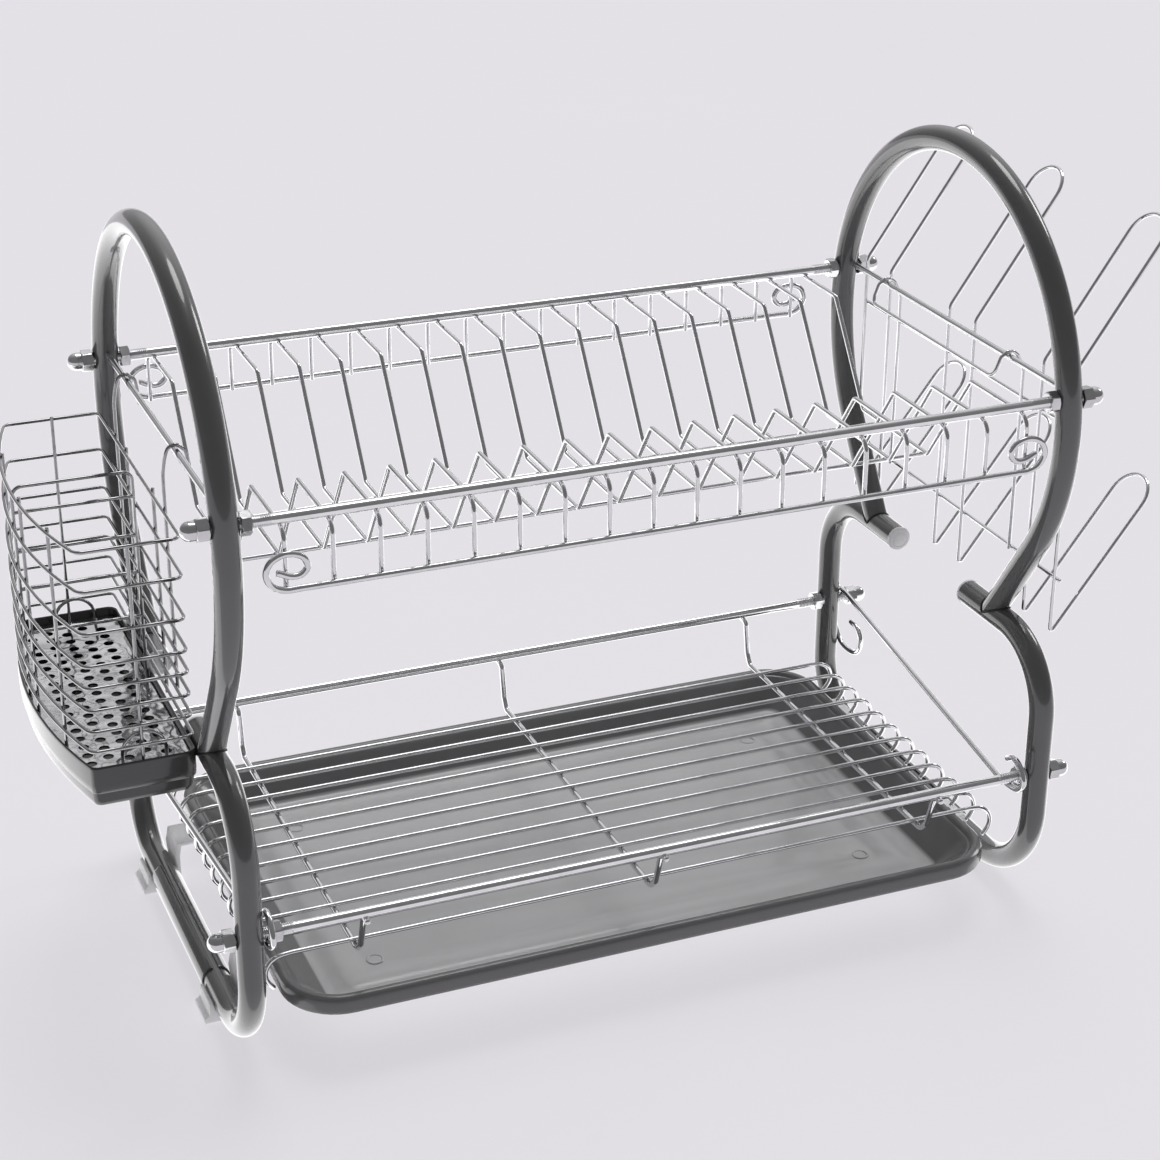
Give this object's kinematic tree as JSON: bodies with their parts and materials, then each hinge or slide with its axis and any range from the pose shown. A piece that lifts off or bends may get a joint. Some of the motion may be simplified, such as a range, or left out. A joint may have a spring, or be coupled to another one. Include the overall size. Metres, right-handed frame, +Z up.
{
  "type": "dish drying rack",
  "caption": "Two-tier dish drying rack with tube side hoops, wire plate rack over a wire shelf, sliding drip tray, hanging cutlery basket and hanging cup holder",
  "frame": {"origin": "on the floor under the middle of the rack, midway between the two side frames and midway between the front and back rods", "axes": "+X runs along the rack to the cup holder end, +Y from the front to the back, +Z up"},
  "size_m": [0.5691, 0.2743, 0.3982],
  "materials": {
    "tube": "glossy dark grey coat",
    "cap": "light grey moulded plastic",
    "sleeve": "dark glossy",
    "clip": "translucent white",
    "rod": "bright chrome, threaded ends",
    "nut": "bright chrome",
    "wire": "bright chrome wire",
    "tray": "grey, glossy rim",
    "plate": "bright perforated steel",
    "cup": "dark grey glossy"
  },
  "bodies": {
    "rack": {"hoop_left": "tube", "hoop_right": "tube", "base_frame_left": "tube", "base_frame_right": "tube", "end_caps": "cap", "base_sleeve_left": "sleeve", "base_sleeve_right": "sleeve", "foot_clips": "clip", "rod_upper_front": "rod", "rod_upper_back": "rod", "rod_lower_front": "rod", "rod_lower_back": "rod", "hex_nuts": "nut", "acorn_nuts": "nut", "side_bar_left": "wire", "side_bar_right": "wire", "plate_rungs": "wire", "plate_rail_front": "wire", "plate_rail_back": "wire", "plate_trough_wires": "wire", "shelf_wires": "wire", "shelf_cross_wires": "wire", "guard_wire_left": "wire", "guard_wire_right": "wire"},
    "tray": {"drip_tray": "tray"},
    "basket": {"basket_rings": "wire", "basket_hooks": "wire", "basket_uprights": "wire", "basket_divider": "wire", "basket_arches": "wire", "drainer_plate": "plate"},
    "cup": {"basket_drip_cup": "cup"},
    "holder": {"holder_loops": "wire", "holder_rails": "wire", "holder_hanger": "wire"}
  },
  "joints": [
    {"name": "tray_slide", "type": "slide", "parent": "rack", "child": "tray", "axis": [0, -1, 0], "range_m": [0, 0.22]},
    {"name": "basket_lift", "type": "slide", "parent": "rack", "child": "basket", "axis": [0, 0, 1], "range_m": [0, 0.045]},
    {"name": "cup_pull", "type": "slide", "parent": "basket", "child": "cup", "axis": [0, 0, -1], "range_m": [0, 0.035]},
    {"name": "holder_lift", "type": "slide", "parent": "rack", "child": "holder", "axis": [0, 0, 1], "range_m": [0, 0.045]}
  ]
}
